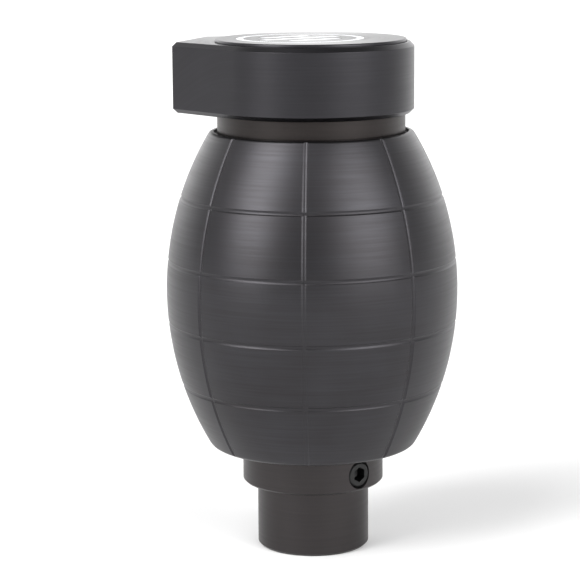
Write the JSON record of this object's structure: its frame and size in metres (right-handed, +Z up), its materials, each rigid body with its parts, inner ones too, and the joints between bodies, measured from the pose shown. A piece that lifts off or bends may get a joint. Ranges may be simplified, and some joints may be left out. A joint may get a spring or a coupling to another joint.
{
  "type": "gear lever knob",
  "caption": "Grenade-shaped gear lever knob in turned black aluminium, with a thumb release button in the head's side boss and set screws in the neck.",
  "frame": {"origin": "centre of the neck's underside, where the lever enters", "axes": "+Z up the lever and the knob's axis, +X to the knob's right, the front set screw 49 degrees from +X towards -Y, the button boss at 162 degrees from +X towards +Y"},
  "size_m": [0.0552, 0.0552, 0.0972],
  "materials": {
    "barrel_anodised": "satin black anodised, fine turning marks",
    "fittings_anodised": "satin black anodised, slightly warmer",
    "button_anodised": "satin black anodised, turned",
    "inlay_enamel": "white enamel, rubbed flat",
    "black_oxide_steel": "black oxide, oiled",
    "bright_steel": "ground steel",
    "spring_steel": "drawn spring wire",
    "bronze": "sintered bronze",
    "nylon": "natural nylon",
    "seal_rubber": "matt nitrile rubber"
  },
  "bodies": {
    "knob": {"barrel": "barrel_anodised", "lever_socket": "fittings_anodised", "lever_sleeve": "nylon", "collar_ring": "fittings_anodised", "barrel_dowel": "bright_steel", "head_block": "fittings_anodised", "head_screws": "black_oxide_steel", "crown_disc": "fittings_anodised", "crown_inlay": "inlay_enamel", "crown_seal": "seal_rubber", "button_bezel": "fittings_anodised", "upper_rod_bush": "bronze", "lower_rod_bush": "bronze", "spring_washer": "bright_steel", "rod_spring": "spring_steel"},
    "button": {"thumb_button": "button_anodised", "button_pin": "bright_steel", "cam_slide": "bright_steel"},
    "release_rod": {"push_rod": "bright_steel", "cam_follower": "bright_steel", "follower_pin": "bright_steel", "rod_tip": "nylon"},
    "front_screw": {"set_screw_front": "black_oxide_steel"},
    "rear_screw": {"set_screw_rear": "black_oxide_steel"}
  },
  "joints": [
    {"name": "button_press", "type": "slide", "parent": "knob", "child": "button", "axis": [0.9511, -0.309, 0], "range_m": [0, 0.0035], "stiffness_N_per_m": 600, "springref_m": -0.003},
    {"name": "rod_drop", "type": "slide", "parent": "knob", "child": "release_rod", "axis": [0, 0, -1], "range_m": [0, 0.0035], "deforming": ["rod_spring"]},
    {"name": "front_screw_drive", "type": "slide", "parent": "knob", "child": "front_screw", "axis": [-0.6561, 0.7547, 0], "range_m": [-0.0004, 0.0008]},
    {"name": "rear_screw_drive", "type": "slide", "parent": "knob", "child": "rear_screw", "axis": [-0.7547, -0.6561, 0], "range_m": [-0.0004, 0.0008]}
  ],
  "couplings": [
    {"joint": "rod_drop", "follows": "button_press", "ratio": 1}
  ]
}
